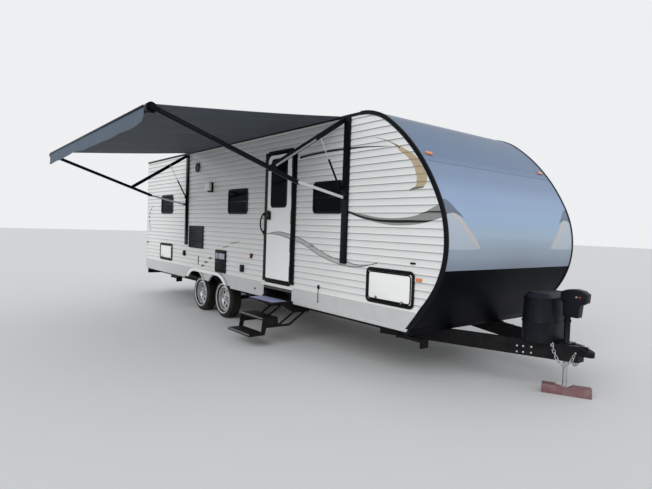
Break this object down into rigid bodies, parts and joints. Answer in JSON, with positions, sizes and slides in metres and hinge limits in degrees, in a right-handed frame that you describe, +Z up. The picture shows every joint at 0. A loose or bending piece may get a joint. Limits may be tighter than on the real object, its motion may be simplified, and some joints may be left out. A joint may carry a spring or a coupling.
{
  "type": "travel caravan",
  "caption": "Towed travel caravan with a bull-nosed front, tandem axles, entry door, fold-down steps and an extended side awning, parked on its tongue jack.",
  "frame": {"origin": "on the ground, on the centreline, at the underside of the pad under the tongue jack", "axes": "+X forward to the hitch, +Y to the off side, +Z up; the entry door and awning are on the -Y side"},
  "size_m": [9.152, 4.7656, 3.174],
  "materials": {
    "siding_white": "satin corrugated sheet, cream white",
    "skirt_grey": "satin smooth sheet, light grey",
    "cap_silver": "gloss moulded front, silver blue",
    "front_black": "satin textured black",
    "roof_white": "matt roofing membrane",
    "floor_board": "plain board",
    "frame_black": "satin frame paint",
    "trim_black": "satin black moulding",
    "glass_dark": "dark tinted glass",
    "door_white": "satin white leaf",
    "lamp_amber": "clear amber lens",
    "lamp_red": "clear red lens",
    "tyre_rubber": "matt rubber",
    "rim_silver": "satin silver wheel",
    "spring_steel": "dull steel",
    "awning_black": "satin black arms",
    "link_grey": "satin grey bar",
    "rod_steel": "ground rod",
    "awning_cloth": "grey vinyl cloth",
    "cover_black": "moulded cover",
    "galvanized": "zinc coated",
    "pad_red": "painted board",
    "step_black": "gritted black"
  },
  "bodies": {
    "root": {"main_rails": "frame_black", "cross_members": "frame_black", "a_frame": "frame_black", "bumper": "frame_black", "coupler": "frame_black", "tongue_jack": "cover_black", "floor": "floor_board", "wall_right": "siding_white", "wall_left": "siding_white", "wall_rear": "siding_white", "roof": "roof_white", "nose_cap": "cap_silver", "nose_lower": "front_black", "skirts": "skirt_grey", "fenders": "skirt_grey", "edge_trim": "trim_black", "window_frames": "trim_black", "window_glass": "glass_dark", "door_frames": "trim_black", "axles": "spring_steel", "leaf_springs": "spring_steel", "stabilizer_brackets": "frame_black", "step_housing": "step_black", "awning_posts": "awning_black", "awning_fabric": "awning_cloth", "gas_cover": "cover_black", "roof_fittings": "roof_white", "lamps_amber": "lamp_amber", "lamps_red": "lamp_red", "side_fittings": "trim_black"},
    "entry_door": {"entry_door": "door_white", "door_glass": "glass_dark"},
    "baggage_door_right": {"baggage_door_right": "door_white"},
    "baggage_door_left": {"baggage_door_left": "door_white"},
    "storage_door": {"storage_door": "door_white"},
    "jack_ram": {"jack_ram": "galvanized", "jack_pad": "pad_red"},
    "step_outer_arms": {"step_outer_arms": "step_black"},
    "step_inner_arms": {"step_inner_arms": "step_black"},
    "step_treads": {"step_treads": "step_black"},
    "awning_rafters": {"awning_rafters": "awning_black"},
    "awning_arms": {"awning_arms": "awning_black", "awning_roller": "awning_black"},
    "awning_links": {"awning_links": "link_grey"},
    "awning_struts": {"awning_struts": "awning_black"},
    "awning_strut_rods": {"awning_strut_rods": "rod_steel"},
    "awning_valance": {"awning_valance": "awning_cloth"},
    "wheel_front_right": {"tyre_front_right": "tyre_rubber", "rim_front_right": "rim_silver"},
    "stabilizer_front_right": {"stabilizer_front_right": "frame_black"},
    "wheel_front_left": {"tyre_front_left": "tyre_rubber", "rim_front_left": "rim_silver"},
    "stabilizer_front_left": {"stabilizer_front_left": "frame_black"},
    "wheel_rear_right": {"tyre_rear_right": "tyre_rubber", "rim_rear_right": "rim_silver"},
    "stabilizer_rear_right": {"stabilizer_rear_right": "frame_black"},
    "wheel_rear_left": {"tyre_rear_left": "tyre_rubber", "rim_rear_left": "rim_silver"},
    "stabilizer_rear_left": {"stabilizer_rear_left": "frame_black"}
  },
  "joints": [
    {"name": "wheel_front_right_spin", "type": "hinge", "parent": "root", "child": "wheel_front_right", "pos_m": [-5.275, 0, 0.324], "axis": [0, 1, 0], "continuous": true},
    {"name": "wheel_front_left_spin", "type": "hinge", "parent": "root", "child": "wheel_front_left", "pos_m": [-5.275, 0, 0.324], "axis": [0, 1, 0], "continuous": true},
    {"name": "wheel_rear_right_spin", "type": "hinge", "parent": "root", "child": "wheel_rear_right", "pos_m": [-6.15, 0, 0.324], "axis": [0, 1, 0], "continuous": true},
    {"name": "wheel_rear_left_spin", "type": "hinge", "parent": "root", "child": "wheel_rear_left", "pos_m": [-6.15, 0, 0.324], "axis": [0, 1, 0], "continuous": true},
    {"name": "entry_door_swing", "type": "hinge", "parent": "root", "child": "entry_door", "pos_m": [-3.108, -1.236, 1.697], "axis": [0, 0, 1], "range_deg": [0, 170]},
    {"name": "baggage_door_right_lift", "type": "hinge", "parent": "root", "child": "baggage_door_right", "pos_m": [-1.3075, -1.236, 1.155], "axis": [-1, 0, 0], "range_deg": [0, 110]},
    {"name": "baggage_door_left_lift", "type": "hinge", "parent": "root", "child": "baggage_door_left", "pos_m": [-1.3075, 1.236, 1.155], "axis": [1, 0, 0], "range_deg": [0, 110]},
    {"name": "storage_door_lift", "type": "hinge", "parent": "root", "child": "storage_door", "pos_m": [-7.638, -1.236, 1.137], "axis": [-1, 0, 0], "range_deg": [0, 110]},
    {"name": "jack_ram_slide", "type": "slide", "parent": "root", "child": "jack_ram", "axis": [0, 0, 1], "range_m": [0, 0.2]},
    {"name": "stabilizer_front_right_swing", "type": "hinge", "parent": "root", "child": "stabilizer_front_right", "pos_m": [-1.5, -0.83, 0.397], "axis": [0, 1, 0], "range_deg": [0, 90]},
    {"name": "stabilizer_front_left_swing", "type": "hinge", "parent": "root", "child": "stabilizer_front_left", "pos_m": [-1.5, 0.83, 0.397], "axis": [0, 1, 0], "range_deg": [0, 90]},
    {"name": "stabilizer_rear_right_swing", "type": "hinge", "parent": "root", "child": "stabilizer_rear_right", "pos_m": [-8.25, -0.83, 0.397], "axis": [0, 1, 0], "range_deg": [0, 90]},
    {"name": "stabilizer_rear_left_swing", "type": "hinge", "parent": "root", "child": "stabilizer_rear_left", "pos_m": [-8.25, 0.83, 0.397], "axis": [0, 1, 0], "range_deg": [0, 90]},
    {"name": "step_fold", "type": "hinge", "parent": "root", "child": "step_outer_arms", "pos_m": [-3.46, -1.12, 0.43], "axis": [1, 0, 0], "range_deg": [0, 117]},
    {"name": "step_inner_follow", "type": "hinge", "parent": "root", "child": "step_inner_arms", "pos_m": [-3.46, -0.935, 0.43], "axis": [1, 0, 0], "range_deg": [0, 118]},
    {"name": "step_tread_level", "type": "hinge", "parent": "step_outer_arms", "child": "step_treads", "pos_m": [-3.46, -1.38, 0.26], "axis": [1, 0, 0], "range_deg": [-118, 0]},
    {"name": "awning_fold", "type": "hinge", "parent": "root", "child": "awning_rafters", "pos_m": [-4.33, -1.28, 2.807], "axis": [1, 0, 0], "range_deg": [0, 56.46], "deforming": ["awning_fabric"]},
    {"name": "awning_elbow", "type": "hinge", "parent": "awning_rafters", "child": "awning_arms", "pos_m": [-4.33, -2.25003, 2.16398], "axis": [1, 0, 0], "range_deg": [-126.99, 0]},
    {"name": "awning_link_swing", "type": "hinge", "parent": "root", "child": "awning_links", "pos_m": [-4.33, -1.28, 1.92426], "axis": [1, 0, 0], "range_deg": [0, 102.65]},
    {"name": "awning_strut_swing", "type": "hinge", "parent": "root", "child": "awning_struts", "pos_m": [-4.33, -1.28, 2.05], "axis": [1, 0, 0], "range_deg": [-29.3, 0]},
    {"name": "awning_strut_slide", "type": "slide", "parent": "awning_struts", "child": "awning_strut_rods", "axis": [0, -0.4818, 0.8763], "range_m": [-0.2441, 0]},
    {"name": "awning_valance_hang", "type": "hinge", "parent": "awning_arms", "child": "awning_valance", "pos_m": [-4.33, -3.47358, 2.57266], "axis": [1, 0, 0], "range_deg": [0, 70.53]}
  ],
  "couplings": [
    {"joint": "step_inner_follow", "follows": "step_fold", "ratio": 1},
    {"joint": "step_tread_level", "follows": "step_fold", "ratio": -1},
    {"joint": "awning_elbow", "follows": "awning_fold", "ratio": -2.2403},
    {"joint": "awning_link_swing", "follows": "awning_fold", "ratio": 1.8092},
    {"joint": "awning_strut_swing", "follows": "awning_fold", "ratio": -0.51019},
    {"joint": "awning_strut_slide", "follows": "awning_fold", "m_per_rad": -0.2457},
    {"joint": "awning_valance_hang", "follows": "awning_fold", "ratio": 1.2403}
  ]
}
